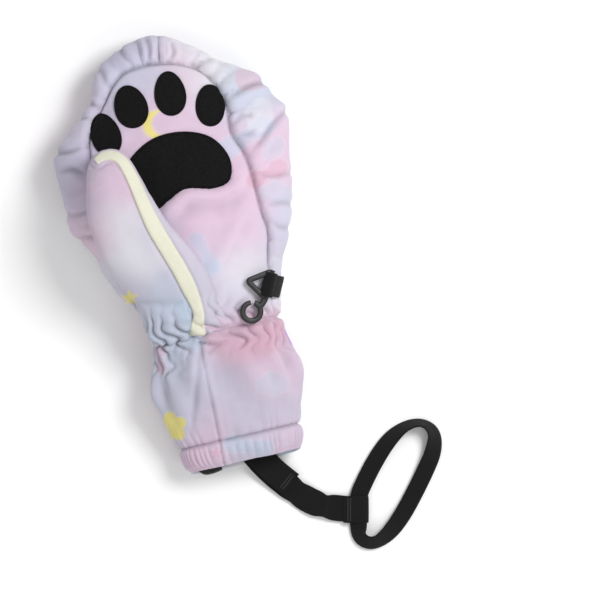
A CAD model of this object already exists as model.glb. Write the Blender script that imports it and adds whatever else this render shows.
import math

import bmesh
import bpy
import numpy as np
from mathutils import Matrix, Vector, noise
from mathutils.bvhtree import BVHTree


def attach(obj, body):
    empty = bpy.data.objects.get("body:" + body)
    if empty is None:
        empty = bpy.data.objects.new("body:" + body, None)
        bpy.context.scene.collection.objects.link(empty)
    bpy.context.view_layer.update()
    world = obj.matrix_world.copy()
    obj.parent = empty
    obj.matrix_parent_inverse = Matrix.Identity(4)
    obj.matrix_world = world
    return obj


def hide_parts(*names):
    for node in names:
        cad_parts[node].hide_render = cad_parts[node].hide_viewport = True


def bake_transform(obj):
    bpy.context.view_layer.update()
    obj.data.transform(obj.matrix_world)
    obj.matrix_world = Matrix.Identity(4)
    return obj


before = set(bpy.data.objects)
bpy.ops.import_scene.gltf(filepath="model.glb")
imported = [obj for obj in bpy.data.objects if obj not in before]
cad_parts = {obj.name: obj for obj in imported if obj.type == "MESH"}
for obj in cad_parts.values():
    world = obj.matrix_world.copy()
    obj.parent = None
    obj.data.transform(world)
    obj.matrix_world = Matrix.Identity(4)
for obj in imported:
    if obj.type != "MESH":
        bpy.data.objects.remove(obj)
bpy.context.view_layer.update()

# A child's insulated ski mitten for the left hand, palm up.  The tables are in millimetres in
# the frame's own axes; meshes are made in metres.
MM = 0.001
SECTION_POWER = 2.3       # roundness of the flattened oval sections
WRIST_Y = -47.0
HEM_SEAM_Y = -109.0
MOUTH_Y = -122.0
UV_PER_MM = 0.1           # the weave's UV map is in centimetres
UP = np.array([0.0, 0.0, 1.0])

# Outline and height along the hand: y, left x, right x, bottom z, top z.
HAND = [
    (-50.0, -35.5, 37.2, 7.0, 41.0), (-46.6, -35.0, 36.8, 7.0, 41.0), (-40.0, -37.6, 38.8, 6.8, 42.2),
    (-30.0, -38.6, 42.2, 6.3, 43.6), (-16.0, -47.3, 45.6, 4.3, 44.6), (-4.0, -52.0, 51.5, 2.4, 44.6),
    (10.0, -56.0, 57.0, 0.9, 44.4), (20.0, -62.6, 59.6, 0.5, 44.1), (27.0, -67.0, 61.0, 0.4, 43.9),
    (40.0, -66.6, 63.4, 0.4, 43.6), (54.0, -67.2, 66.0, 0.4, 43.2), (67.0, -66.2, 66.6, 0.6, 41.8),
    (78.0, -56.0, 60.2, 1.4, 39.4), (88.0, -43.5, 55.6, 2.4, 36.8), (96.0, -37.6, 44.6, 3.2, 34.6),
    (104.0, -34.0, 30.2, 4.4, 31.8), (112.0, -29.6, 21.5, 6.4, 28.6), (117.5, -19.4, 14.0, 8.4, 26.0),
    (121.5, -11.0, 7.4, 11.0, 23.2), (123.6, -5.0, 2.4, 13.6, 20.4), (124.4, -1.8, -0.6, 15.8, 18.0),
]

# The same for the cuff and hem.
CUFF = [
    (-122.0, -30.6, 33.0, 0.6, 27.0), (-119.0, -32.4, 33.8, 0.4, 28.4), (-109.0, -34.6, 35.6, 0.6, 30.6),
    (-101.0, -37.4, 38.0, 1.2, 33.4), (-90.0, -39.6, 40.6, 3.6, 37.2), (-78.0, -40.6, 41.8, 5.2, 40.2),
    (-66.0, -38.8, 40.2, 6.0, 41.4), (-57.0, -36.4, 38.2, 6.6, 41.2), (-46.6, -35.0, 36.8, 7.0, 41.0),
    (-44.0, -36.0, 37.2, 6.9, 41.4),
]

# The thumb, which lies over the palm.
THUMB = [
    (-50.0, -33.0, 10.0, 19.0, 38.6), (-46.6, -33.8, 10.0, 21.0, 40.4), (-42.0, -36.0, 9.6, 23.0, 44.4),
    (-38.0, -37.4, 9.2, 24.0, 47.0),
    (-30.0, -38.4, 7.6, 27.0, 50.6), (-16.0, -44.4, 4.4, 33.0, 56.4), (-5.0, -49.0, 0.4, 37.5, 60.2),
    (6.0, -52.4, -4.8, 41.4, 63.6), (16.0, -54.2, -10.4, 43.6, 65.8), (28.0, -55.6, -15.2, 44.6, 67.0),
    (38.0, -54.2, -18.0, 45.0, 67.4), (48.0, -51.6, -21.0, 45.4, 67.0), (56.0, -49.4, -23.8, 46.2, 65.4),
    (61.0, -47.4, -26.4, 48.0, 62.6), (64.0, -44.6, -29.4, 50.0, 59.8), (65.7, -41.0, -33.0, 52.4, 57.0),
    (66.3, -38.4, -35.6, 54.0, 55.4),
]

# Palm panel's seam in plan, and the grip pads.
PALM_OUTLINE = [
    (6.4, 107.3), (-18.9, 106.6), (-37.4, 88.0), (-46.0, 73.0), (-47.5, 58.0), (-47.0, 20.0),
    (-41.0, -25.0), (-34.0, -70.0), (34.0, -70.0), (38.0, -22.0), (42.5, 0.0), (41.5, 12.0), (39.5, 44.8),
    (34.5, 60.0), (34.8, 78.0), (26.0, 98.0),
]
TOE_PADS = {   # centre, half width, half length, lean in degrees
    "toe_grip_pad_1": (-35.5, 74.8, 8.5, 12.5, 6.0),
    "toe_grip_pad_2": (-18.1, 87.1, 9.5, 12.5, 4.0),
    "toe_grip_pad_3": (5.2, 89.4, 9.0, 12.8, -4.0),
    "toe_grip_pad_4": (25.7, 77.8, 8.2, 12.0, -8.0),
}
MAIN_PAD_OUTLINE = [
    (6.0, 67.1), (22.0, 60.5), (30.0, 47.0), (27.5, 34.5), (17.4, 31.5), (0.7, 34.5),
    (-15.2, 27.0), (-27.0, 24.5), (-34.0, 38.0), (-28.0, 55.0), (-12.0, 66.0),
]
PAD_HEIGHT = 1.2


# ---- numbers -------------------------------------------------------------------------------
def srgb(code):
    """Linear colour from a hex code."""
    values = [int(code[k:k + 2], 16) / 255 for k in (1, 3, 5)]
    return np.array([v / 12.92 if v <= 0.04045 else ((v + 0.055) / 1.055) ** 2.4 for v in values])


def hermite(knots, values, at):
    """Smooth curve through the knots, without overshoot at a turn."""
    h = np.diff(knots)
    slope = np.diff(values) / h
    tangent = np.zeros(len(knots))
    tangent[1:-1] = np.where(
        slope[:-1] * slope[1:] > 0,
        2 * slope[:-1] * slope[1:] / (slope[:-1] + slope[1:] + 1e-12), 0)
    tangent[0], tangent[-1] = slope[0], slope[-1]
    at = np.clip(at, knots[0], knots[-1])
    k = np.clip(np.searchsorted(knots, at) - 1, 0, len(knots) - 2)
    t = (at - knots[k]) / h[k]
    return (values[k] * (1 + 2 * t) * (1 - t) ** 2 + tangent[k] * h[k] * t * (1 - t) ** 2
            + values[k + 1] * t * t * (3 - 2 * t) + tangent[k + 1] * h[k] * t * t * (t - 1))


def section(table, y):
    """Centre and half sizes of the oval at each y: centre x, half width, centre z, half height."""
    rows = np.array(table, float)
    left, right, low, high = (hermite(rows[:, 0], rows[:, c], y) for c in (1, 2, 3, 4))
    return (left + right) / 2, (right - left) / 2, (low + high) / 2, (high - low) / 2


def oval(table, y, angle, grow=0.0):
    """Points of the flattened oval at y and angle, as an array of x, y, z."""
    cx, a, cz, b = section(table, y)
    c, s = np.cos(angle), np.sin(angle)
    x = cx + (a + grow) * np.sign(c) * np.abs(c) ** (2 / SECTION_POWER)
    z = cz + (b + grow) * np.sign(s) * np.abs(s) ** (2 / SECTION_POWER)
    return np.stack([x, y + 0 * x, z], -1)


def bell(offset, width):
    """1 at no offset, falling off smoothly over the width."""
    return np.exp(-(offset / width) ** 2)


def unit(vectors):
    """The same directions with a length of 1."""
    return vectors / np.linalg.norm(vectors, axis=-1, keepdims=True)


def walk(line):
    """Distance along a line at each of its points."""
    return np.concatenate([[0], np.cumsum(np.linalg.norm(np.diff(line, axis=0), axis=1))])


def full_turn(count):
    """Evenly spaced angles round a full turn."""
    return np.linspace(0, 2 * np.pi, count, endpoint=False)


def evenly(line, count, closed):
    """The line as evenly spaced points; a closed line, which ends where it starts, loses its last point."""
    walked = walk(line)
    even = np.linspace(0, walked[-1], count, endpoint=not closed)
    return np.stack([np.interp(even, walked, line[:, j]) for j in range(line.shape[1])], -1)


def through(a, b, c, d, f):
    """Point at the share f between b and c, on the smooth curve through a, b, c and d."""
    return 0.5 * (2 * b + (c - a) * f + (2 * a - 5 * b + 4 * c - d) * f ** 2
                  + (3 * b - a - 3 * c + d) * f ** 3)


def closed_curve(points, count):
    """Evenly spaced points on a smooth closed curve through the given ones."""
    p = np.array(points, float)
    n = len(p)
    t = np.linspace(0, n, count * 4, endpoint=False)
    k = t.astype(int)
    curve = through(p[(k - 1) % n], p[k % n], p[(k + 1) % n], p[(k + 2) % n], (t - k)[:, None])
    return evenly(np.vstack([curve, curve[:1]]), count, True)


def open_curve(points, count):
    """Points at even distances on a smooth open curve through the given ones."""
    p = np.array(points, float)
    knots = walk(p)
    at = np.linspace(0, knots[-1], count)
    padded = np.vstack([2 * p[0] - p[1], p, 2 * p[-1] - p[-2]])
    k = np.clip(np.searchsorted(knots, at) - 1, 0, len(p) - 2)
    f = ((at - knots[k]) / (knots[k + 1] - knots[k]))[:, None]
    return through(padded[k], padded[k + 1], padded[k + 2], padded[k + 3], f)


CHUNK = 4000   # points measured at a time


def nearest(points, curve, closed=True):
    """Distance to a plan curve, place along it in mm, and side: -1 inside a closed curve, else 1."""
    following = np.roll(curve, -1, 0) if closed else np.vstack([curve[1:], curve[-1:]])
    along = np.concatenate([[0], np.cumsum(np.linalg.norm(following - curve, axis=1))])[:-1]
    distance = np.empty(len(points))
    place = np.empty(len(points))
    inside = np.zeros(len(points))
    for start in range(0, len(points), CHUNK):
        part = slice(start, start + CHUNK)
        chunk = points[part]
        gap = chunk[:, None, :] - curve[None]
        d2 = (gap ** 2).sum(-1)
        k = d2.argmin(1)
        distance[part] = np.sqrt(d2[np.arange(len(chunk)), k])
        place[part] = along[k]
        if closed:
            x, y = chunk[:, 0:1], chunk[:, 1:2]
            ya, yb = curve[None, :, 1], following[None, :, 1]
            xa, xb = curve[None, :, 0], following[None, :, 0]
            cross = (ya > y) != (yb > y)
            hit = x < xa + (y - ya) * (xb - xa) / np.where(yb == ya, 1e-9, yb - ya)
            inside[part] = (cross & hit).sum(1) % 2
    return distance, place, np.where(inside > 0.5, -1.0, 1.0)


def bumps(points, scale, seed):
    """Soft noise at each point, about -1 to 1, with features about scale mm across."""
    shift = Vector((seed * 17.3, seed * 5.1, seed * 9.7))
    return np.array([noise.noise(Vector(p) / scale + shift) for p in points.tolist()])


def pleats(phase, sharp):
    """Rounded folds with narrow valleys, one per unit of phase, from 0 to 1."""
    return np.abs(np.sin(np.pi * phase)) ** sharp


# ---- meshes --------------------------------------------------------------------------------
def make_mesh(name, points, faces):
    """New mesh object from points in millimetres."""
    mesh = bpy.data.meshes.new(name)
    mesh.from_pydata((np.asarray(points) * MM).tolist(), [], faces)
    mesh.polygons.foreach_set("use_smooth", [True] * len(mesh.polygons))
    mesh.update()
    obj = bpy.data.objects.new(name, mesh)
    bpy.context.scene.collection.objects.link(obj)
    return obj


def grid_faces(rows, columns, wrap):
    """Quads of a grid of rows x columns points, joined round when wrap is set."""
    faces = []
    for r in range(rows - 1):
        for c in range(columns if wrap else columns - 1):
            a, b = r * columns + c, r * columns + (c + 1) % columns
            faces.append((a, b, b + columns, a + columns))
    return faces


def flip(faces):
    """The same faces seen from the other side."""
    return [tuple(reversed(f)) for f in faces]


def grid_normals(points, wrap=True):
    """Outward unit normals of a grid of points shaped rows x columns x 3."""
    if wrap:
        across = np.roll(points, -1, 1) - np.roll(points, 1, 1)
    else:
        across = np.gradient(points, axis=1)
    along = np.gradient(points, axis=0)
    normal = np.cross(across, along)
    length = np.linalg.norm(normal, axis=-1, keepdims=True)
    return -normal / np.maximum(length, 1e-9)


def thicken(obj, thickness):
    """Give a sheet its cloth thickness, inwards."""
    solid = obj.modifiers.new("cloth", "SOLIDIFY")
    solid.thickness = thickness * MM
    solid.offset = -1
    return obj


def apply_modifiers(obj):
    """Replace the mesh by what its modifiers make."""
    depsgraph = bpy.context.evaluated_depsgraph_get()
    mesh = bpy.data.meshes.new_from_object(obj.evaluated_get(depsgraph))
    obj.modifiers.clear()
    obj.data = mesh
    return obj


def mesh_points(obj):
    """Vertex places in millimetres."""
    co = np.empty(len(obj.data.vertices) * 3, np.float32)
    obj.data.vertices.foreach_get("co", co)
    return co.reshape(-1, 3).astype(float) / MM


# ---- print on the shell --------------------------------------------------------------------
PINK, LILAC, BLUE = srgb("#E0C3D8"), srgb("#CCC7DA"), srgb("#C5CEDF")
WHITE, SALMON, YELLOW = srgb("#E6E6EC"), srgb("#DCA9BC"), srgb("#F0E276")
SKY, GREY_LILAC = srgb("#B9D3E6"), srgb("#BFBCD2")

# Soft tints of the dyed ground: x, y, reach, colour.
PALM_TINTS = [
    (-60, 48, 16, GREY_LILAC), (-63, 20, 12, PINK), (-48, 92, 18, LILAC), (-12, 112, 16, GREY_LILAC),
    (28, 104, 18, WHITE), (12, 100, 12, PINK), (-8, 78, 22, PINK), (52, 78, 16, BLUE), (56, 52, 16, PINK),
    (40, 20, 22, PINK), (12, 12, 24, PINK), (20, 42, 22, PINK), (58, 5, 14, BLUE), (30, -20, 18, WHITE),
    (44, -10, 12, GREY_LILAC), (14, -38, 14, LILAC), (-46, 44, 12, PINK), (-50, 20, 10, PINK),
    (-38, 22, 13, WHITE), (-34, 2, 14, WHITE), (-22, 14, 10, LILAC), (-40, -18, 14, LILAC),
    (-22, -22, 12, BLUE), (-30, -38, 14, BLUE), (4, -16, 10, LILAC), (10, -55, 13, SALMON),
    (26, -54, 12, SALMON), (-30, -60, 16, BLUE), (-24, -76, 18, LILAC), (0, -84, 18, LILAC),
    (-34, -96, 14, BLUE), (-14, -104, 14, PINK), (20, -100, 18, LILAC), (26, -78, 14, PINK),
    (-26, -116, 12, PINK), (4, -117, 12, LILAC), (24, -117, 12, PINK), (-18, 100, 11, BLUE),
    (0, 101, 10, BLUE), (-30, 86, 9, GREY_LILAC), (-30, 44, 12, PINK), (24, 30, 16, PINK),
]
BACK_TINTS = [
    (-40, 70, 24, PINK), (0, 95, 22, LILAC), (40, 70, 24, BLUE), (0, 30, 26, PINK), (-45, 10, 24, WHITE),
    (40, 10, 24, LILAC), (10, -20, 22, BLUE), (-25, -30, 18, PINK), (28, -35, 16, WHITE),
    (0, -70, 22, LILAC), (-28, -90, 18, PINK), (28, -95, 18, BLUE), (0, -115, 16, WHITE),
]

# Printed motifs: kind, x, y, size, turn in degrees, colour.
PALM_MOTIFS = [
    ("moon", -5.6, 73.8, 8.2, -15, YELLOW), ("balloon", 31.0, 52.0, 7.5, 110, SKY),
    ("balloon", 1.5, 5.0, 5.5, 20, SKY), ("bow", 48.5, 33.0, 11.0, 15, SALMON),
    ("cloud", 55.5, 46.0, 7.5, 30, BLUE), ("cloud", 51.0, 21.0, 9.0, -20, BLUE),
    ("balloon", -15.0, -31.0, 6.5, 10, SKY), ("star", -42.5, -18.5, 4.5, 10, YELLOW),
    ("flower", -36.0, -95.0, 9.0, 15, YELLOW), ("bow", -33.5, -56.0, 7.0, 80, SALMON),
    ("balloon", -4.5, -112.0, 6.0, 70, SKY), ("star", -14.4, -115.0, 4.0, 5, SALMON),
    ("bow", -46.0, 47.5, 7.0, 20, PINK),
    ("balloon", 50.0, 88.0, 9.0, 80, SALMON),
    ("cloud", 52.0, 66.0, 10.0, 60, WHITE), ("cloud", 25.0, -84.0, 9.0, -10, BLUE),
]
BACK_MOTIFS = [
    ("moon", -22.0, 66.0, 12.0, 30, YELLOW), ("flower", 20.0, 92.0, 9.0, 10, YELLOW),
    ("bow", 34.0, 62.0, 14.0, 20, SALMON), ("cloud", -42.0, 40.0, 12.0, 10, BLUE),
    ("balloon", 44.0, 22.0, 10.0, 60, SKY), ("star", -30.0, 12.0, 7.0, 20, YELLOW),
    ("bow", -36.0, -6.0, 10.0, -30, SALMON), ("star", 30.0, -8.0, 8.0, 0, WHITE),
    ("moon", 8.0, -22.0, 8.0, 200, YELLOW), ("flower", -22.0, -96.0, 9.0, 0, YELLOW),
    ("balloon", 12.0, -100.0, 8.0, 30, SKY), ("star", 28.0, -84.0, 6.0, 15, SALMON),
    ("cloud", 0.0, 110.0, 8.0, 0, WHITE), ("star", -50.0, 70.0, 6.0, 0, SKY),
]


PLAIN_GROUND, PRINT_EDGE = 0.10, 0.22      # weight of the plain ground, and of a motif's pale edge


def motif_distance(kind, u, v):
    """Signed distance-like field of a motif of unit size, negative inside."""
    r, angle = np.hypot(u, v), np.arctan2(v, u)
    if kind == "star":
        return r - (0.72 + 0.28 * np.cos(5 * angle))
    if kind == "flower":
        return r - (0.70 + 0.30 * np.abs(np.cos(2.5 * angle)))
    if kind == "moon":
        return np.maximum(r - 1.0, 0.85 - np.hypot(u - 0.45, v - 0.1))
    if kind == "balloon":
        return np.hypot(u, v * (0.78 + 0.25 * v)) - 0.8
    if kind == "cloud":
        lobes = [np.hypot(u - a, v - b) - c for a, b, c in
                 ((-0.5, 0, 0.5), (0.45, 0.05, 0.55), (0, 0.35, 0.5), (0.1, -0.2, 0.5))]
        return np.minimum.reduce(lobes)
    wings = [np.hypot((u - a) * 0.8, v) - 0.45 for a in (-0.62, 0.62)]
    return np.minimum.reduce(wings + [np.hypot(u, v) - 0.26])


def shell_print(points, palm_side):
    """Colour of the printed shell at each point, from its place in plan and its side."""
    x, y = points[:, 0], points[:, 1]
    colour = np.zeros((len(points), 3))
    for side, tints, motifs in ((True, PALM_TINTS, PALM_MOTIFS), (False, BACK_TINTS, BACK_MOTIFS)):
        chosen = palm_side if side else ~palm_side
        if not chosen.any():
            continue
        px, py = x[chosen], y[chosen]
        warp = bumps(points[chosen], 22.0, 3.0)
        total = np.full(len(px), PLAIN_GROUND)
        mixed = total[:, None] * LILAC
        for tx, ty, reach, tint in tints:
            weight = np.exp(-((px + 5 * warp - tx) ** 2 + (py - 4 * warp - ty) ** 2) / reach ** 2)
            total += weight
            mixed += weight[:, None] * tint
        ground = mixed / total[:, None]
        for kind, mx, my, size, turn, ink in motifs:
            c, s = math.cos(math.radians(turn)), math.sin(math.radians(turn))
            u = ((px - mx) * c + (py - my) * s) / size
            v = (-(px - mx) * s + (py - my) * c) / size
            field = motif_distance(kind, u, v) * size
            strength, softness = (0.9, 1.0) if ink is YELLOW else (0.45, 2.0)
            fill = np.clip(0.5 - field / softness, 0, 1)[:, None] * strength
            edge = np.clip(1 - np.abs(field - 0.3) / 0.6, 0, 1)[:, None] * PRINT_EDGE
            ground = ground * (1 - fill) + ink * fill
            ground = ground * (1 - edge) + WHITE * edge
        colour[chosen] = ground
    return colour


HAND_TONE, THUMB_TONE, CUFF_TONE = 1.02, 0.90, 0.91     # brightness of the print on each
CREASE_DEPTH, CREASE_DARKEST = 1.3, 0.36    # mm below its surroundings, and how much darker there


def crease_shade(height):
    """Darkening of the cloth in the bottoms of its creases, as a factor at each grid point."""
    soft = height.copy()
    for _ in range(10):
        soft = (soft + np.roll(soft, 1, 1) + np.roll(soft, -1, 1)) / 3
        soft[1:-1] = (soft[:-2] + soft[1:-1] + soft[2:]) / 3
    return 1 - CREASE_DARKEST * np.clip((soft - height) / CREASE_DEPTH, 0, 1)


def paint(obj, colours):
    """Store a colour at each vertex."""
    layer = obj.data.color_attributes.new("print", "FLOAT_COLOR", "POINT")
    opaque = np.concatenate([colours, np.ones((len(colours), 1))], 1).astype(np.float32)
    layer.data.foreach_set("color", opaque.ravel())


def set_uv(obj, places):
    """Weave UV map of a piece, from places in mm at its mesh's corners."""
    layer = obj.data.uv_layers.new(name="weave")
    layer.data.foreach_set("uv", (places * UV_PER_MM).astype(np.float32).ravel())


def corner_points(mesh):
    """Number of the vertex at each corner of the mesh's faces."""
    corners = np.empty(len(mesh.loops), np.int32)
    mesh.loops.foreach_get("vertex_index", corners)
    return corners


def rest_uv(obj):
    """UV map of the rest shape, seen along the axis each face turns to, so that a weave keeps its size."""
    mesh = obj.data
    normals = np.empty(len(mesh.polygons) * 3, np.float32)
    mesh.polygons.foreach_get("normal", normals)
    normals = np.abs(normals.reshape(-1, 3))
    totals = np.empty(len(mesh.polygons), np.int32)
    mesh.polygons.foreach_get("loop_total", totals)
    face_normal = np.repeat(normals, totals, axis=0)
    p = mesh_points(obj)[corner_points(mesh)]
    flat = np.where(face_normal[:, 2:3] >= 0.55, p[:, (0, 1)],
                    np.where(face_normal[:, 0:1] >= face_normal[:, 1:2], p[:, (2, 1)], p[:, (0, 2)]))
    set_uv(obj, flat)


# ---- materials -----------------------------------------------------------------------------
class Nodes:
    """Short way to write a node material."""

    def __init__(self, name):
        self.material = bpy.data.materials.new(name)
        self.material.use_nodes = True
        self.tree = self.material.node_tree
        self.shader = self.tree.nodes["Principled BSDF"]

    def add(self, kind, inputs=None, **settings):
        node = self.tree.nodes.new(kind)
        for key, value in settings.items():
            setattr(node, key, value)
        for key, value in (inputs or {}).items():
            self.put(node.inputs[key], value)
        return node

    def put(self, socket, value):
        if isinstance(value, bpy.types.NodeSocket):
            self.tree.links.new(value, socket)
        else:
            socket.default_value = value

    def surface(self, **inputs):
        for key, value in inputs.items():
            self.put(self.shader.inputs[key.replace("_", " ")], value)

    def uv(self):
        return self.add("ShaderNodeUVMap", uv_map="weave").outputs["UV"]

    def noise(self, vector, scale, detail, output="Fac"):
        node = self.add("ShaderNodeTexNoise", {"Vector": vector, "Scale": scale, "Detail": detail})
        return node.outputs[output]

    def cells(self, vector, scale):
        node = self.add("ShaderNodeTexVoronoi", {"Vector": vector, "Scale": scale}, feature="F1")
        return node.outputs["Distance"]

    def wave(self, vector, scale, direction):
        return self.add("ShaderNodeTexWave", {"Vector": vector, "Scale": scale, "Distortion": 0.6},
                        wave_type="BANDS", bands_direction=direction).outputs["Fac"]

    def math(self, operation, a, b=0.0):
        node = self.add("ShaderNodeMath", operation=operation)
        self.put(node.inputs[0], a)
        self.put(node.inputs[1], b)
        return node.outputs[0]

    def mix(self, share, a, b):
        node = self.add("ShaderNodeMix", data_type="RGBA", blend_type="MIX")
        self.put(node.inputs["Factor"], share)
        self.put(node.inputs["A"], a)
        self.put(node.inputs["B"], b)
        return node.outputs["Result"]

    def bump(self, height, strength, distance):
        node = self.add("ShaderNodeBump", {"Height": height, "Strength": strength, "Distance": distance})
        return node.outputs[0]


def rgba(colour):
    """Opaque colour for a socket."""
    return (*[float(c) for c in colour], 1.0)


def woven(name, colour=None, threads=34.0, vary=0.05):
    """Woven cloth: a printed or plain ground with threads both ways and slight colour variation."""
    n = Nodes(name)
    uv = n.uv()
    if colour is None:
        ground = n.add("ShaderNodeVertexColor", layer_name="print").outputs["Color"]
    else:
        ground = rgba(colour)
    weave = n.math("MULTIPLY", n.wave(uv, threads, "X"), n.wave(uv, threads, "Y"))
    mottle = n.noise(uv, 2.2, 5.0)
    dark = n.math("MULTIPLY", n.math("SUBTRACT", 1.0, weave), vary)
    shade = n.math("ADD", dark, n.math("MULTIPLY", n.math("SUBTRACT", 0.62, mottle), vary * 1.6))
    darker = (0.0, 0.0, 0.0) if colour is not None and max(colour) < 0.1 else srgb("#8E88A4")
    height = n.math("ADD", weave, n.math("MULTIPLY", n.noise(uv, 60.0, 2.0), 0.6))
    n.surface(Base_Color=n.mix(shade, ground, rgba(darker)), Roughness=0.72,
              Normal=n.bump(height, 0.55, 0.00012), Sheen_Weight=0.25, Sheen_Roughness=0.5,
              Specular_IOR_Level=0.3)
    return n.material


def webbing(name, colour, ribs=9.0):
    """Ribbed tape: fine cross ribs with lengthwise threads."""
    n = Nodes(name)
    uv = n.uv()
    rib = n.wave(uv, ribs, "X")
    thread = n.wave(uv, ribs * 2.2, "Y")
    height = n.math("ADD", rib, n.math("MULTIPLY", thread, 0.35))
    lighter = rgba(np.minimum(colour * 2.2 + 0.012, 1))
    base = n.mix(n.math("MULTIPLY", n.math("ADD", rib, n.noise(uv, 30.0, 3.0)), 0.45), rgba(colour), lighter)
    n.surface(Base_Color=base, Roughness=0.8, Normal=n.bump(height, 0.7, 0.00025), Sheen_Weight=0.05,
              Specular_IOR_Level=0.12)
    return n.material


def leather_grain(name, colour):
    """Synthetic grip leather: pebbled cells, with worn, slightly paler tops."""
    n = Nodes(name)
    uv = n.uv()
    shifted = n.mix(0.12, uv, n.noise(uv, 6.0, 2.0, "Color"))
    cells = n.cells(shifted, 13.0)
    height = n.math("SUBTRACT", 1.0, n.math("ADD", cells, n.math("MULTIPLY", n.cells(shifted, 30.0), 0.5)))
    base = n.mix(n.math("MULTIPLY", height, 0.5), rgba(colour * 0.6), rgba(colour * 1.8))
    rough = n.math("ADD", 0.62, n.math("MULTIPLY", cells, 0.25))
    n.surface(Base_Color=base, Roughness=rough, Normal=n.bump(height, 0.8, 0.0004), Specular_IOR_Level=0.18)
    return n.material


def plastic(name, colour, roughness):
    """Moulded plastic with a faint spark-eroded texture."""
    n = Nodes(name)
    grain = n.noise(n.uv(), 45.0, 4.0)
    rough = n.math("ADD", roughness, n.math("MULTIPLY", grain, 0.15))
    n.surface(Base_Color=rgba(colour), Roughness=rough, Normal=n.bump(grain, 0.25, 0.0001))
    return n.material


def pile(name, colour):
    """Brushed loop pile: short fuzzy loops with a soft sheen."""
    n = Nodes(name)
    uv = n.uv()
    height = n.math("ADD", n.noise(uv, 24.0, 6.0), n.cells(uv, 16.0))
    base = n.mix(n.math("MULTIPLY", height, 0.55), rgba(colour * 0.72), rgba(np.minimum(colour * 1.25, 1)))
    n.surface(Base_Color=base, Roughness=0.95, Normal=n.bump(height, 0.9, 0.0005), Sheen_Weight=0.6)
    return n.material


def reflective(name, colour):
    """Glass-bead reflective transfer: grey, slightly metallic, with fine beads."""
    n = Nodes(name)
    beads = n.bump(n.cells(n.uv(), 70.0), 0.4, 0.0001)
    n.surface(Base_Color=rgba(colour), Roughness=0.42, Metallic=0.55, Normal=beads)
    return n.material


BLACK = srgb("#0B0A0C")
MATERIALS = {
    "shell_fabric": woven("printed_shell"),
    "cream_fabric": woven("cream_binding", srgb("#E5E4CE"), threads=26.0, vary=0.08),
    "lining_black": pile("black_lining", srgb("#1A1A1C")),
    "insulation_white": pile("white_wadding", srgb("#E8E8E4")),
    "insert_film": plastic("insert_film", srgb("#D5DADF"), 0.3),
    "grip_leather": leather_grain("grip_leather", BLACK),
    "webbing_black": webbing("black_webbing", BLACK),
    "elastic_black": webbing("black_elastic", srgb("#202022"), ribs=14.0),
    "loop_lilac": pile("lilac_loop", srgb("#C9A8E0")),
    "hook_grey": plastic("hook_tape", srgb("#D0CFD6"), 0.5),
    "reflective_grey": reflective("reflective_transfer", srgb("#B4BBC1")),
    "clip_black": plastic("clip_plastic", srgb("#141415"), 0.35),
    "thread_cream": woven("cream_thread", srgb("#CFCDB4"), threads=60.0),
    "thread_black": woven("black_thread", srgb("#2A2A2C"), threads=60.0),
}


def dress(obj, slot, body=None, nodes=(), material=None):
    """Give a piece its material, slot, body and the CAD nodes that it stands for."""
    obj.data.materials.clear()
    obj.data.materials.append(MATERIALS[material or slot])
    if "weave" not in obj.data.uv_layers:
        rest_uv(obj)
    if nodes:
        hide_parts(*nodes)
    if body:
        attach(obj, body)
    return obj


# ---- the shell's surface -------------------------------------------------------------------
palm_seam = closed_curve(PALM_OUTLINE, 700)
pad_edge = closed_curve(MAIN_PAD_OUTLINE, 400)


# Deep creases of the stuffed cloth: x and y of both ends, depth, width.
CREASES = [
    (-1.2, 124.4, -3.0, 108.7, 3.2, 1.8), (-31.0, 111.5, -27.0, 101.0, 2.2, 2.0),
    (29.9, 100.4, 20.0, 103.5, 2.6, 1.8), (26.0, 104.0, 23.0, 98.0, 1.8, 1.5),
    (59.5, 84.0, 35.5, 80.2, 3.4, 2.2), (66.5, 64.5, 41.1, 46.8, 3.4, 2.2),
    (46.0, 68.0, 36.0, 66.0, 2.4, 2.0), (45.0, 58.5, 36.0, 55.0, 2.4, 1.8),
    (62.0, 30.0, 41.0, 33.0, 2.0, 2.0), (60.0, 12.0, 42.0, 18.0, 2.0, 2.4), (56.0, 0.0, 41.0, 6.0, 1.8, 2.4),
    (-66.9, 69.8, -46.0, 70.3, 2.8, 2.0), (-63.1, 60.0, -49.3, 55.8, 3.0, 2.2),
    (-50.0, 83.4, -39.7, 86.0, 2.2, 1.8), (-44.0, 96.0, -36.0, 92.5, 1.8, 1.8),
    (-66.0, 36.0, -52.0, 33.0, 2.2, 2.4), (-62.0, 20.0, -50.0, 22.0, 2.4, 2.0),
    (-16.0, 121.0, -13.5, 109.5, 1.8, 1.6), (12.0, 115.0, 9.5, 107.0, 2.2, 1.5),
]


def crease_relief(points):
    """Grooves along the creases, with the cloth lifted beside them."""
    relief = np.zeros(len(points))
    p = points[:, :2]
    for ax, ay, bx, by, depth, width in CREASES:
        a, b = np.array([ax, ay]), np.array([bx, by])
        share = np.clip(((p - a) @ (b - a)) / ((b - a) @ (b - a)), 0, 1)
        bend = 0.9 * np.sin(share * 5.0 + ax)
        gap = p - a - share[:, None] * (b - a)
        side = np.array([-(b - a)[1], (b - a)[0]]) / np.linalg.norm(b - a)
        d = np.linalg.norm(gap - side * bend[:, None], axis=1)
        fade = 0.35 + 0.65 * np.sin(np.pi * np.clip(0.15 + 0.75 * share, 0, 1))
        relief += fade * depth * (0.55 * bell(d, 2.8 * width) - bell(d, width))
    return relief


# Folds round the mitten and round the thumb's base.
WRIST_FOLDS_ABOVE, WRIST_FOLDS_BELOW, HEM_RUCHES, HEM_FOLDS, THUMB_FOLDS = 24, 20, 44, 30, 15


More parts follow.
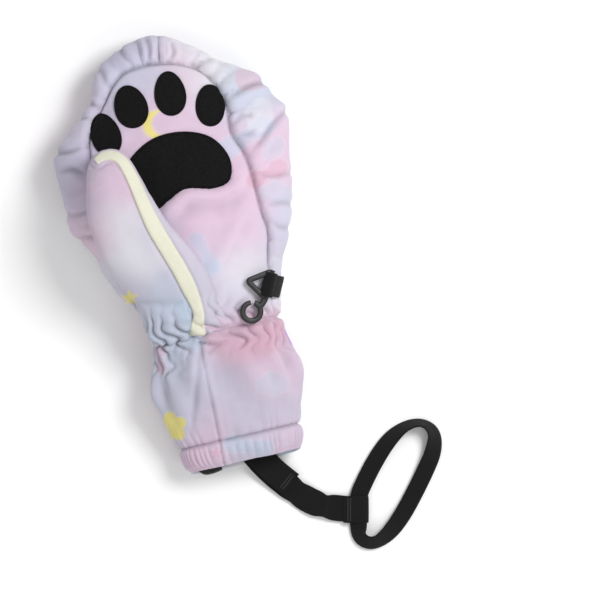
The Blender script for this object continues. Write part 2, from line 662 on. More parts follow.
def wrist_gather(y, angle):
    """Height of the elastic's gathers, about the wrist seam."""
    rise = y - WRIST_Y
    warp = 0.26 * np.sin(3 * angle + 0.7) + 0.11 * np.sin(7 * angle + 2.1) + 0.055 * np.sin(13 * angle)
    wander = 0.32 * np.sin(rise / 3.1 + angle) + 0.16 * np.sin(rise / 1.5 - 2 * angle + 1.0)
    above = pleats(angle * WRIST_FOLDS_ABOVE / (2 * np.pi) + warp + wander, 0.6)
    below = pleats(angle * WRIST_FOLDS_BELOW / (2 * np.pi) - warp + 0.4 - wander, 0.6)
    upper_side = rise > 0
    reach = np.where(upper_side, 13.0, 15.0)
    uneven_reach = reach * (0.85 + 0.35 * np.sin(4 * angle + 1.3) * np.sin(7 * angle))
    near = bell(rise, uneven_reach)
    fold = np.where(upper_side, above, below)
    band = 1 - bell(rise, 2.2)
    swell = 0.85 + 0.40 * np.sin(4 * angle + 0.5) * np.sin(9 * angle)
    return near * band * swell * (4.4 * fold - 2.2) - 1.3 * bell(rise, 1.5)


def crumple(points):
    """Small sharp creases the elastic leaves in the cloth about the wrist."""
    near = bell(points[:, 1] - WRIST_Y, 15.0)
    return near * 2.2 * (np.abs(bumps(points, 8.0, 9.0)) - 0.2)


def hand_relief(points, angle):
    """How far the cloth stands out of the smooth oval, in mm, over the hand."""
    x, y, z = points[:, 0], points[:, 1], points[:, 2]
    cz, b = section(HAND, y)[2:]
    upper = np.sin(angle) > 0
    distance, place, side = nearest(points[:, :2], palm_seam)
    outside = side > 0
    down = np.maximum(cz + b - z, 0)
    free = outside | ~upper       # all but the flat palm panel
    d = np.where(free, distance + 0.75 * down, 0)
    fade = np.clip((y + 32) / 26, 0, 1)
    warp = 0.55 * np.sin(place / 23.0) + 0.45 * np.sin(place / 9.3 + 1.2)
    uneven = 0.25 + 1.0 * np.clip(np.sin(place / 17.0 + 0.8) + 0.5 * np.sin(place / 6.1), 0, 1.4)
    small = pleats(place / 9.5 + 1.2 * warp, 0.6)
    large = pleats(place / 31.0 + 0.4 * warp + 0.2, 0.9)
    rim = np.clip((y - 60) / 30, 0, 1)
    near_seam = uneven * np.exp(-d / (7.0 + 3 * rim)) * (1 - np.exp(-d / 1.5))
    puff = 2.8 * (1 - bell(d, 6.0)) * bell(d, 26.0)
    relief = np.where(free, fade * (puff + near_seam * (3.6 * small - 1.9)
                                    + 1.3 * (large - 0.6) * bell(d, 24.0) * (1 - np.exp(-d / 4.0))), 0)
    relief += np.where(outside, 1.0, np.where(upper, 0.0, 0.5)) * crease_relief(points)
    relief -= 2.2 * (bell(distance, 1.3) * upper * fade)
    # The palm swells below the large pad and folds over its lower edge.
    pad_gap, _, pad_side = nearest(points[:, :2], pad_edge)
    below = np.clip((46 - y) / 14, 0, 1) * np.clip((x + 22) / 10, 0, 1) * upper * ~outside
    relief += 4.2 * bell(pad_gap - 4.5, 5.5) * (pad_side > 0) * below
    relief += 1.3 * bell((x - 22) * 0.8 - (y - 4) * 0.6, 4.0) * bell(y - 2, 20.0) * upper * ~outside
    # A tuck runs in from the fingertips on the back.
    relief -= 2.0 * (bell((x + 6) - (y - 110) * 0.35, 3.0) * np.clip((y - 70) / 25, 0, 1) * ~upper)
    relief += 0.9 * bumps(points, 26.0, 1.0) + 0.45 * bumps(points, 9.0, 2.0)
    relief += wrist_gather(y, angle) + crumple(points)
    rest = np.clip((z - 1.2) / 3.0, 0, 1)     # it lies flat where it meets the table
    return np.where(relief > 0, relief * np.where(upper, 1, rest), relief * np.where(upper, 1, 0.35))


def relief_grid(table, y, count, relief_of):
    """A table's smooth ovals as a grid, its normals, each point's angle, and the relief on it."""
    angle = full_turn(count)
    smooth = oval(table, y[:, None], angle[None, :])
    flat_angle = np.broadcast_to(angle, smooth.shape[:2]).ravel()
    relief = relief_of(smooth.reshape(-1, 3), flat_angle).reshape(smooth.shape[:2])
    return smooth, grid_normals(smooth), flat_angle, relief


def close_end(grid):
    """Points and faces of a wrapped grid, with a point that closes its last row."""
    rows, columns = grid.shape[:2]
    flat = grid.reshape(-1, 3)
    flat = np.vstack([flat, flat[-columns:].mean(0)])
    tip = len(flat) - 1
    last = (rows - 1) * columns
    closing = [(last + c, last + (c + 1) % columns, tip) for c in range(columns)]
    return flat, grid_faces(rows, columns, True) + closing


def cut_panels(points, faces, colours, first, names):
    """Cut a surface in two where the points marked first end; gives each coloured panel and its name."""
    within = [all(first[v] for v in f) for f in faces]
    for name, keep in zip(names, (within, [not w for w in within])):
        chosen = [f for f, k in zip(faces, keep) if k]
        used = sorted({v for f in chosen for v in f})
        number = {v: k for k, v in enumerate(used)}
        obj = make_mesh("shell_" + name, points[used], [tuple(number[v] for v in f) for f in chosen])
        paint(obj, colours[used])
        yield obj, name


def build_hand():
    """Palm and back panels of the hand; returns the ray tree of their surface."""
    y = np.concatenate([np.arange(WRIST_Y, 108.0, 1.0), np.arange(108.0, 120.0, 0.75),
                        np.arange(120.0, 124.3, 0.45), [124.4]])
    smooth, normals, angle, relief = relief_grid(HAND, y, 340, hand_relief)
    relief[-12:] *= np.linspace(1, 0.1, 12)[:, None]
    points, faces = close_end(smooth + normals * relief[..., None])
    faces = flip(faces)
    palm_side = np.append(np.sin(angle) > 0, False)
    side = nearest(points[:, :2], palm_seam)[2]
    in_palm = (side < 0) & palm_side
    colours = shell_print(points, points[:, 2] > section(HAND, points[:, 1])[2])
    colours *= HAND_TONE * np.append(crease_shade(relief), 1.0)[:, None]
    for obj, name in cut_panels(points, faces, colours, in_palm, ("palm_panel", "back_panel")):
        dress(obj, "shell_fabric", "mitten", (name,))
    return BVHTree.FromPolygons(points.tolist(), faces)


hand_tree = build_hand()


# ---- cuff ----------------------------------------------------------------------------------
CUFF_SEAM_X = -10.5      # the lengthwise seam, beside the middle of the palm side


def cuff_relief(points, angle):
    """How far the cuff's cloth stands out of its smooth oval, in mm."""
    x, y, z = points[:, 0], points[:, 1], points[:, 2]
    upper = np.sin(angle) > 0
    relief = wrist_gather(y, angle) + crumple(points)
    drape = bell(y + 72, 17.0)
    relief += drape * (1.9 * np.sin(angle * 6 + 0.06 * y) + 1.2 * np.sin(angle * 11 - 0.07 * y + 1.0))
    relief -= 1.6 * bell((x + 22) - 0.35 * (y + 90), 2.2) * np.clip((y + 108) / 20, 0, 1) * upper
    tunnel = np.clip((HEM_SEAM_Y - y) / 13.0, 0, 1)
    rim = np.sin(np.pi * np.clip(tunnel, 0, 1)) ** 0.7
    warp = 0.5 * np.sin(5 * angle) + 0.3 * np.sin(11 * angle + 1.0)
    ruche = pleats(angle * HEM_RUCHES / (2 * np.pi) + warp, 0.8)
    relief += rim * (1.5 + 0.9 * (ruche - 0.5)) * (y <= HEM_SEAM_Y)
    above = np.exp(-np.maximum(y - HEM_SEAM_Y, 0) / 7.0) * (y > HEM_SEAM_Y)
    relief += above * 0.8 * (pleats(angle * HEM_FOLDS / (2 * np.pi) + 0.8 * warp, 0.8) - 0.4)
    relief -= 1.3 * bell(y - HEM_SEAM_Y, 1.1)
    seam = (x - CUFF_SEAM_X - 0.03 * (y + 80)) * np.where(upper, 1, 99)
    relief += -0.9 * bell(seam, 0.8) + 0.5 * bell(seam - 2.2, 1.6)
    relief += 1.1 * bumps(points, 20.0, 4.0) + 0.4 * bumps(points, 8.0, 5.0)
    rest = np.clip((z - 1.0) / 3.0, 0, 1)
    return np.where(relief > 0, relief * np.where(upper, 1, rest), relief)


HEM_TURN = [   # how far the hem turns inwards, and on past the edge
    (0.4, 0.9), (1.2, 1.3), (2.1, 0.9), (2.6, -0.6), (2.8, -3.0), (3.0, -6.0), (3.1, -10.0), (3.2, -14.0),
]


def build_cuff():
    """Cuff, and hem with its turned-in facing."""
    y = np.concatenate([np.arange(WRIST_Y + 0.6, HEM_SEAM_Y, -0.9), np.arange(HEM_SEAM_Y, MOUTH_Y, -0.65)])
    smooth, normals, angle, relief = relief_grid(CUFF, y, 320, cuff_relief)
    outer = smooth - normals * relief[..., None]     # this grid runs the other way, so its normals point in
    seam_row = int(np.argmin(np.abs(y - HEM_SEAM_Y)))
    # The lower lip reaches further out of the mouth than the upper one.
    lowness = np.clip(-np.sin(angle.reshape(relief.shape)), 0, 1) ** 0.5
    outer[..., 1] -= 2.4 * (np.clip((HEM_SEAM_Y - y) / 13.0, 0, 1)[:, None] * lowness)
    edge = outer[-1]
    centre_x, _, centre_z, _ = section(CUFF, MOUTH_Y)
    outward = unit((edge - (centre_x, 0, centre_z)) * (1, 0, 1))
    turn = np.array([edge - outward * inward - (0, back, 0) for inward, back in HEM_TURN])
    shade = crease_shade(relief)
    plain = np.ones((len(turn), relief.shape[1]))
    for name, grid, shading in (
            ("cuff_shell", outer[:seam_row + 1], shade[:seam_row + 1]),
            ("hem_tunnel", np.concatenate([outer[seam_row:], turn]),
             np.concatenate([shade[seam_row:], plain]))):
        flat = grid.reshape(-1, 3)
        obj = make_mesh("shell_" + name, flat, grid_faces(*grid.shape[:2], True))
        printed = shell_print(flat, flat[:, 2] > section(CUFF, flat[:, 1])[2])
        paint(obj, printed * shading.reshape(-1, 1) * CUFF_TONE)
        dress(obj, "shell_fabric", "mitten", (name,))


build_cuff()


# ---- inner layers --------------------------------------------------------------------------
def sleeve(name, table, y_range, inset, rows=90, columns=120, quilt=0.0, close=True):
    """A closed or open inner sleeve, the inset inside the table's smooth ovals."""
    y = np.linspace(*y_range, rows)[:, None]
    angle = full_turn(columns)[None, :]
    grid = oval(table, y, angle, -inset)
    grid = grid + grid_normals(grid) * (quilt * np.sin(y / 4.0) * np.cos(angle * 9))[..., None]
    points, faces = close_end(grid) if close else (grid.reshape(-1, 3), grid_faces(rows, columns, True))
    return apply_modifiers(thicken(make_mesh(name, points, flip(faces)), 0.8))


def build_layers(rows):
    """Inner sleeves: name, table, y range, inset, quilting, closed end, slot, the solid it stands for."""
    for name, table, y_range, inset, quilt, close, slot_name, solid in rows:
        dress(sleeve(name, table, y_range, inset, quilt=quilt, close=close), slot_name, "mitten", (solid,))


def build_lining_edge():
    """The end of the black lining where it shows under the hem, beside the lengthwise seam."""
    line = open_curve([(-28.5, -121.0, 9.5), (-24.5, -125.4, 8.3), (-19.5, -126.2, 7.4),
                       (-13.5, -125.3, 6.8)], 40)
    rows = [line + (0.0, inward, rise)
            for inward, rise in ((0.0, 0.0), (1.5, 0.35), (4.0, 0.5), (7.0, 0.4), (11.0, 0.0))]
    edge = make_mesh("lining_turned_edge", np.array(rows).reshape(-1, 3), grid_faces(5, 40, False))
    dress(apply_modifiers(thicken(edge, 1.4)), "lining_black", "mitten")


build_layers([
    ("padding_insert_sleeve", HAND, (-50.0, 112.0), 3.4, 0.2, True, "insert_film", "waterproof_insert"),
    ("padding_insulation", HAND, (-50.0, 110.0), 4.8, 0.6, True, "insulation_white", "insulation"),
    ("padding_hand_lining", HAND, (-50.0, 106.0), 7.2, 0.3, True, "lining_black", "hand_lining"),
    ("cuff_lining_tube", CUFF, (-120.5, -47.0), 3.6, 0.4, False, "lining_black", "cuff_lining"),
])
build_lining_edge()
build_layers([
    ("elastic_wrist", CUFF, (-52.0, -46.8), 3.4, 0.3, False, "elastic_black", "wrist_elastic"),
    ("elastic_hem", CUFF, (-120.0, -110.5), 1.3, 0.2, False, "elastic_black", "hem_elastic"),
])


# ---- thumb ---------------------------------------------------------------------------------
STRIP_CENTRE = [   # x and y of the strip's middle, and its width
    (-9.6, -47.6, 9.6), (-8.6, -42.0, 7.6), (-6.4, -34.4, 6.0), (-8.6, -20.4, 8.4), (-11.4, -9.0, 8.6),
    (-15.3, 3.0, 8.7), (-19.6, 16.6, 8.8), (-22.6, 30.0, 7.8), (-25.2, 43.9, 6.8), (-28.9, 56.6, 6.0),
    (-33.0, 61.3, 5.6), (-38.4, 62.6, 5.0), (-43.6, 60.6, 3.4),
]
# The thumb's cloth goes over from the mitten to the thumb between these places, in metres.
THUMB_MID_Z = 55.0       # where a point beside the thumb looks for its nearest cloth, in mm


def thumb_relief(points, angle):
    """How far the thumb's cloth stands out of its smooth oval, in mm."""
    y = points[:, 1]
    upper = np.sin(angle) > 0
    relief = 0.9 * bumps(points, 24.0, 6.0) + 0.3 * bumps(points, 8.0, 7.0)
    rise = y - WRIST_Y
    warp = 0.20 * np.sin(3 * angle) + 0.09 * np.sin(7 * angle + 1.0)
    wander = 0.30 * np.sin(rise / 3.4 + angle) + 0.14 * np.sin(rise / 1.6 + 1.0)
    gather = pleats(angle * THUMB_FOLDS / (2 * np.pi) + warp + wander, 0.6)
    near = bell(rise - 3.0, 11.0)
    relief += near * (3.6 * gather - 1.8) + crumple(points)
    relief += 1.2 * bell(y - 6, 34.0) * upper * bell(angle - 2.0, 0.8)
    fold = bell(y + 28 + 6 * np.cos(angle), 3.0) * np.clip(np.cos(angle - 2.6), 0, 1)
    return relief - 1.0 * fold


def build_thumb():
    """Outer and inner panels of the thumb; returns the ray tree of their surface."""
    y = np.concatenate([np.arange(WRIST_Y - 1, 58.0, 0.9), np.linspace(58.0, 66.2, 20)])
    smooth, normals, angle, relief = relief_grid(THUMB, y, 200, thumb_relief)
    relief[-14:] *= np.linspace(1, 0.15, 14)[:, None]
    grid = smooth + normals * relief[..., None]
    strip = open_curve(STRIP_CENTRE, 300)
    side_x, side_y, side_width = strip[:200].T      # the part along the thumb's side, before its tip
    flat = grid.reshape(-1, 3)
    # A shallow valley beside the strip, where it is sewn in.
    distance = nearest(flat[:, :2], strip[:, :2], closed=False)[0]
    facing = np.sin(angle) > -0.05
    valley = bell(distance - np.interp(flat[:, 1], side_y, side_width) / 2 - 0.3, 0.8) * facing
    points, faces = close_end((flat - normals.reshape(-1, 3) * valley[:, None]).reshape(grid.shape))
    faces = flip(faces)
    strip_x = np.interp(points[:, 1], side_y, side_x)
    outer_side = np.append(facing, True) & (points[:, 0] < strip_x)
    colours = shell_print(points, np.ones(len(points), bool))
    inner_tint = LILAC * 0.75 + WHITE * 0.25
    colours = np.where(outer_side[:, None], colours, colours * 0.25 + inner_tint * 0.75)
    colours *= THUMB_TONE * np.append(crease_shade(relief), 1.0)[:, None]
    panels = {"thumb_outer_panel": ("thumb_outer_panel", "thumb_base"),
              "thumb_inner_panel": ("thumb_inner_panel",)}
    for obj, name in cut_panels(points, faces, colours, outer_side, panels):
        dress(obj, "shell_fabric", None, panels[name])
        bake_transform(obj)
    return BVHTree.FromPolygons(points.tolist(), faces)


thumb_tree = build_thumb()


def sweep(name, centres, sides, half_width, half_height, closed=False, count=16, power=4.0):
    """Band of rounded rectangular section along a line; sides are the directions of its width."""
    centres = np.asarray(centres, float)
    tangent = unit(np.roll(centres, -1, 0) - np.roll(centres, 1, 0) if closed
                   else np.gradient(centres, axis=0))
    sides = np.asarray(sides, float)
    sides = unit(sides - tangent * (sides * tangent).sum(1, keepdims=True))
    ups = np.cross(tangent, sides)
    angle = full_turn(count) + np.pi / count
    c, s = np.cos(angle), np.sin(angle)
    u = np.sign(c) * np.abs(c) ** (2 / power)
    v = np.sign(s) * np.abs(s) ** (2 / power)
    half_width = np.broadcast_to(half_width, len(centres))
    half_height = np.broadcast_to(half_height, len(centres))
    grid = (centres[:, None] + sides[:, None] * (u[None, :] * half_width[:, None])[..., None]
            + ups[:, None] * (v[None, :] * half_height[:, None])[..., None])
    rows = len(centres)
    faces = grid_faces(rows, count, True)
    if closed:
        last = (rows - 1) * count
        faces += [(last + k, last + (k + 1) % count, (k + 1) % count, k) for k in range(count)]
    else:
        faces += [tuple(range(count)), tuple((rows - 1) * count + k for k in reversed(range(count)))]
    obj = make_mesh(name, grid.reshape(-1, 3), faces)
    corners = corner_points(obj.data)
    across = (u * half_width.mean())[corners % count]
    set_uv(obj, np.stack([walk(centres)[corners // count], across], 1))
    return obj


def on_surface(tree, place, lift, down=True):
    """Point a lift off the surface where a vertical ray from outside meets it, or at its nearest point."""
    towards = -1.0 if down else 1.0
    hit, normal = tree.ray_cast(Vector((*place, -200.0 * towards)), Vector((0, 0, towards)))[:2]
    if hit is None:
        hit, normal = tree.find_nearest(Vector((*place, THUMB_MID_Z)))[:2]
    return np.array(hit) + lift * np.array(normal)


def crosswise(line):
    """Unit directions to the right of a plan line."""
    tangent = unit(np.gradient(line, axis=0))
    return np.stack([tangent[:, 1], -tangent[:, 0]], -1)


def build_strip():
    """Cream binding from the wrist seam round the thumb's tip."""
    route = open_curve(STRIP_CENTRE, 240)
    line, width = route[:, :2], route[:, 2]
    across = crosswise(line)
    grid = []
    for at, side, wide in zip(line, across, width):
        ruck = 0.7 * bell(at[1] - WRIST_Y, 7.0) * math.sin(at[1] * 1.6)
        row = [(share, 0.1 + 0.75 * (1 - abs(share) ** 8) ** 0.5 + ruck * (1 - share ** 2))
               for share in np.linspace(-1, 1, 15)]
        grid.append([on_surface(thumb_tree, at + side * share * wide / 2, lift)
                     for share, lift in [(-1.02, -0.6), *row, (1.02, -0.6)]])
    grid = np.array(grid)
    for _ in range(4):
        grid[1:-1] = (grid[:-2] + 2 * grid[1:-1] + grid[2:]) / 4
    obj = make_mesh("binding_thumb_strip", grid.reshape(-1, 3), grid_faces(*grid.shape[:2], False))
    dress(obj, "cream_fabric", None, ("thumb_gusset_strip",))
    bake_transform(obj)


build_strip()

for part, inset, slot_name in (("insulation", 1.6, "insulation_white"), ("lining", 6.2, "lining_black")):
    inner = sleeve("padding_thumb_" + part, THUMB, (-44.0, 60.0 - inset), inset, 70, 80)
    dress(inner, slot_name, None, ("thumb_" + part, "thumb_base_" + part))
    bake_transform(inner)


# ---- grip pads and emblem ------------------------------------------------------------------
PAD_ROUND, PAD_SUNK = 0.9, 0.8    # reach of a pad's rounded edge, and how far its rim goes into the cloth


def build_pad(name, outline, centre, height, slot_name, node, down=True, seam=1.4):
    """Raised patch on the hand: follows the cloth, with a rounded edge and a stitched line inside it."""
    shares = np.concatenate([np.linspace(0.04, 0.9, 24), np.linspace(0.905, 1.0, 14)])
    centre = np.array(centre, float)
    following = np.roll(outline, -1, 0)
    if (outline[:, 0] * following[:, 1] - outline[:, 1] * following[:, 0]).sum() < 0:
        outline = outline[::-1]
    reach = np.linalg.norm(outline - centre, axis=1)
    grid = []
    for share in shares:
        from_edge = reach * (1 - share)
        profile = np.sqrt(np.maximum(0.0, 1 - np.maximum(0.0, 1 - from_edge / PAD_ROUND) ** 2))
        lift = height * profile - 0.35 * bell(from_edge - seam, 0.35)
        places = centre + (outline - centre) * share
        grid.append([on_surface(hand_tree, at, up, down) for at, up in zip(places, lift)])
    grid.append([on_surface(hand_tree, edge, -PAD_SUNK, down) for edge in outline])
    points, faces = close_end(np.array(grid)[::-1])
    return dress(make_mesh(name, points, faces if down else flip(faces)), slot_name, "mitten", (node,))


for pad_name, (pad_x, pad_y, half_w, half_l, lean) in TOE_PADS.items():
    t = full_turn(120)
    c, s = math.cos(math.radians(lean)), math.sin(math.radians(lean))
    ex, ey = half_w * np.cos(t) * (1 - 0.10 * np.sin(t)), half_l * np.sin(t)
    ring_line = np.stack([pad_x + ex * c - ey * s, pad_y + ex * s + ey * c], -1)
    build_pad("grip_" + pad_name, ring_line, (pad_x, pad_y), PAD_HEIGHT, "grip_leather", pad_name)
build_pad("grip_palm_pad", closed_curve(MAIN_PAD_OUTLINE, 260), (-1.0, 48.0), PAD_HEIGHT,
          "grip_leather", "palm_grip_pad")

# A plain six-pointed star.
EMBLEM_CENTRE, EMBLEM_OUTER, EMBLEM_INNER, EMBLEM_POINTS = (4.0, 34.0), 17.0, 9.0, 6
turn = full_turn(144)
phase = np.abs((turn / (np.pi / EMBLEM_POINTS)) % 2 - 1)
emblem_r = EMBLEM_INNER + (EMBLEM_OUTER - EMBLEM_INNER) * phase ** 1.15
emblem_line = EMBLEM_CENTRE + np.stack([emblem_r * np.cos(turn), emblem_r * np.sin(turn)], -1)
build_pad("transfer_emblem", emblem_line, EMBLEM_CENTRE, 0.4, "reflective_grey", "reflective_emblem",
          down=False, seam=50.0)      # a seam this far in is no seam


# ---- patches and strap on the back of the cuff ---------------------------------------------
# The cuff's ovals below the wrist seam and the hand's above it, as one table.
BODY = [row for row in CUFF if row[0] <= -46.6] + [row for row in HAND if row[0] > -46.6]


def around(low, high, y_line, lift, count):
    """Points a lift outside the smooth cuff between two angles."""
    return oval(BODY, y_line[:, None], np.linspace(low, high, count)[None, :], lift)


def thick_grid(name, grid, thickness):
    """A closed slab from a grid of points on its inner face."""
    normals = grid_normals(grid, wrap=False)
    rows, columns = grid.shape[:2]
    n = rows * columns
    middle = normals.reshape(-1, 3)[n // 2]
    outward = grid[rows // 2, columns // 2] - np.array([0.8, grid[..., 1].mean(), 22.0])
    if np.dot(middle, outward) < 0:
        normals = -normals
    points = np.concatenate([grid.reshape(-1, 3), (grid + normals * thickness).reshape(-1, 3)])
    inner_faces = grid_faces(rows, columns, False)
    faces = flip(inner_faces) + [tuple(v + n for v in f) for f in inner_faces]
    number = np.arange(n).reshape(rows, columns)
    ids = [*number[0], *number[1:, -1], *number[-1, -2::-1], *number[-2:0:-1, 0]]
    ids = [int(k) for k in ids]
    faces += [(a, b, b + n, a + n) for a, b in zip(ids, ids[1:] + ids[:1])]
    obj = make_mesh(name, points, faces)
    shape = bmesh.new()
    shape.from_mesh(obj.data)
    bmesh.ops.recalc_face_normals(shape, faces=shape.faces)
    shape.to_mesh(obj.data)
    shape.free()
    bevel = obj.modifiers.new("edge", "BEVEL")
    bevel.width = 0.35 * MM
    bevel.segments = 2
    bevel.limit_method = "ANGLE"
    bevel.angle_limit = math.radians(60)
    return apply_modifiers(obj)


def print_back(obj, shift=0.0):
    """Colour a piece with the back's print, taken a shift further along the hand."""
    points = mesh_points(obj) + (0, shift, 0)
    paint(obj, shell_print(points, np.zeros(len(points), bool)))


loop_grid = around(-math.pi / 2 + 0.06, 0.02, np.linspace(-82.0, -50.5, 60), 0.2, 90)
dress(thick_grid("patch_loop", loop_grid, 1.1), "loop_lilac", "mitten", ("loop_patch",))
root_grid = around(-math.pi + 0.02, -math.pi / 2 - 0.80, np.linspace(-83.0, -48.5, 60), 0.2, 60)
root_patch = thick_grid("strap_root_patch", root_grid, 1.0)
print_back(root_patch)
dress(root_patch, "shell_fabric", "mitten", ("strap_anchor",))

STRAP_ROOT_X, STRAP_END_X, STRAP_END_R, STRAP_BINDING = -30.0, 33.0, 12.0, 4.5
STRAP_LOW, STRAP_HIGH, STRAP_RISE = -83.0, -47.0, 9.0     # its edges at the root, and how far they rise
STRAP_INNER, STRAP_OUTER = 2.3, 4.1                       # lifts of its faces from the smooth cuff
STITCH_PROFILE = ((0, 0.05), (0.25, 0.28), (0.75, 0.28), (1, 0.05))     # share along it, radius


def strap_limits(x, inset):
    """Lower and upper y of the strap at x, moved in by the inset, with its rounded end."""
    share = (x - STRAP_ROOT_X) / (STRAP_END_X - STRAP_ROOT_X)
    low, high = STRAP_LOW + STRAP_RISE * share + inset, STRAP_HIGH + STRAP_RISE * share - inset
    radius = STRAP_END_R - inset
    beyond = x - (STRAP_END_X - inset - radius)
    if beyond > 0:
        cut = radius - math.sqrt(max(radius ** 2 - beyond ** 2, 0.0))
        low, high = low + cut, high - cut
    return low, high


def strap_surface(x, y, lift):
    """Point a lift outside the smooth lower surface."""
    cx, a, cz, b = section(BODY, y)
    u = min(0.9999, abs((x - cx) / (a + lift)))
    return x, y, cz - (b + lift) * (1 - u ** SECTION_POWER) ** (1 / SECTION_POWER)


def strap_stitches(line):
    """Short raised stitches along a plan line on the strap's face."""
    points, faces = [], []
    for k in range(4, len(line) - 6, 6):
        a, b = (np.array(strap_surface(*line[j], STRAP_OUTER - 0.05)) for j in (k, k + 3))
        sideways = np.cross(unit(b - a), UP)
        for t, r in STITCH_PROFILE:
            points += [a + (b - a) * t + r * (math.cos(w) * sideways + math.sin(w) * UP)
                       for w in full_turn(6)]
        base = len(points) - 24
        faces += [tuple(base + v for v in f) for f in grid_faces(4, 6, True)]
    return make_mesh("strap_stitches", points, faces)


def build_strap():
    """Printed tab, its cream binding with a line of stitches, and the hook patch under it."""
    end = 1 - np.sin(np.linspace(0.02, np.pi / 2 - 0.02, 16))
    x_line = np.concatenate([np.linspace(STRAP_ROOT_X, 22.0, 70),
                             STRAP_END_X - STRAP_BINDING - (STRAP_END_R - STRAP_BINDING) * end])
    grid = [[strap_surface(x, y, STRAP_INNER + 0.2)
             for y in np.linspace(*strap_limits(x, STRAP_BINDING - 0.4), 40)] for x in x_line]
    tab = thick_grid("strap_tab_panel", np.array(grid), STRAP_OUTER - STRAP_INNER - 0.4)
    print_back(tab, 40.0)
    dress(tab, "shell_fabric", "strap", ("strap_tab",))
    # The binding follows the outline, half its width in from the edge.
    inset = STRAP_BINDING / 2
    bend = STRAP_END_R - inset
    x_line = [*np.linspace(STRAP_ROOT_X, STRAP_END_X - STRAP_END_R, 60),
              *(STRAP_END_X - inset - bend + bend * np.sin(np.linspace(0, np.pi / 2, 20)[1:]))]
    lower = [(x, strap_limits(x - (1e-4 if k >= 60 else 0), inset)[0]) for k, x in enumerate(x_line)]
    upper = [(x, strap_limits(x - 1e-4, inset)[1]) for x in reversed(x_line)]
    flat = open_curve(lower[::3] + upper[::3], 320)
    across = crosswise(flat)
    lift = (STRAP_INNER + STRAP_OUTER) / 2
    centres, edge = (np.array([strap_surface(x, y, lift) for x, y in line])
                     for line in (flat, flat + across * 1.5))
    binding = sweep("strap_binding_tape", centres, edge - centres, STRAP_BINDING / 2, 1.05, power=3.0)
    dress(binding, "cream_fabric", "strap", ("strap_binding",))
    stitches = strap_stitches(flat - across * (STRAP_BINDING / 2 - 0.9))
    dress(stitches, "cream_fabric", "strap", (), "thread_cream")
    hook_grid = np.array([[strap_surface(x, y, STRAP_INNER - 0.75) for y in np.linspace(-67.0, -46.0, 30)]
                          for x in np.linspace(2.0, 26.0, 30)])
    dress(thick_grid("strap_hook_tape", hook_grid, 0.7), "hook_grey", "strap", ("strap_hook_patch",))


build_strap()


# ---- pairing clip --------------------------------------------------------------------------
# The clip's own directions: along its bar, out from it in its plane, and square to the plane.
CLIP_PIVOT = np.array([35.7, -28.4, 42.6])
CLIP_BAR = np.array([0.448, 0.894, 0.0]) / math.hypot(0.448, 0.894)
CLIP_LEFT = np.array([-CLIP_BAR[1], CLIP_BAR[0], 0.0])
CLIP_TILT = math.radians(14.0)
CLIP_SIDE = CLIP_LEFT * math.cos(CLIP_TILT) + UP * math.sin(CLIP_TILT)
CLIP_FACE = np.cross(CLIP_BAR, CLIP_SIDE)


def clip_point(s, t, h=0.0):
    """Place of a point given along the bar, out from it and above the clip's plane."""
    return CLIP_PIVOT + CLIP_BAR * s + CLIP_SIDE * t + CLIP_FACE * h


def rounded(corners, radius, count, closed=True):
    """Corners of a polygon turned into arcs, as evenly spread points."""
    p = np.array(corners, float)
    n = len(p)
    out = []
    for k in range(n):
        if not closed and k in (0, n - 1):
            out.append(p[k])
            continue
        before, after = p[(k - 1) % n], p[(k + 1) % n]
        a, b = before - p[k], after - p[k]
        a_long, b_long = np.linalg.norm(a), np.linalg.norm(b)
        reach = min(radius, 0.45 * a_long, 0.45 * b_long)
        start, end = p[k] + a / a_long * reach, p[k] + b / b_long * reach
        for t in np.linspace(0, 1, 12):
            out.append((1 - t) ** 2 * start + 2 * t * (1 - t) * p[k] + t * t * end)
    out = np.array(out)
    if closed:
        out = np.vstack([out, out[:1]])
    return evenly(out, count, closed)


HOOK_S, HOOK_T, HOOK_R, HOOK_GAP = -17.2, 5.9, 5.2, 13.0    # centre, radius, half its opening in degrees


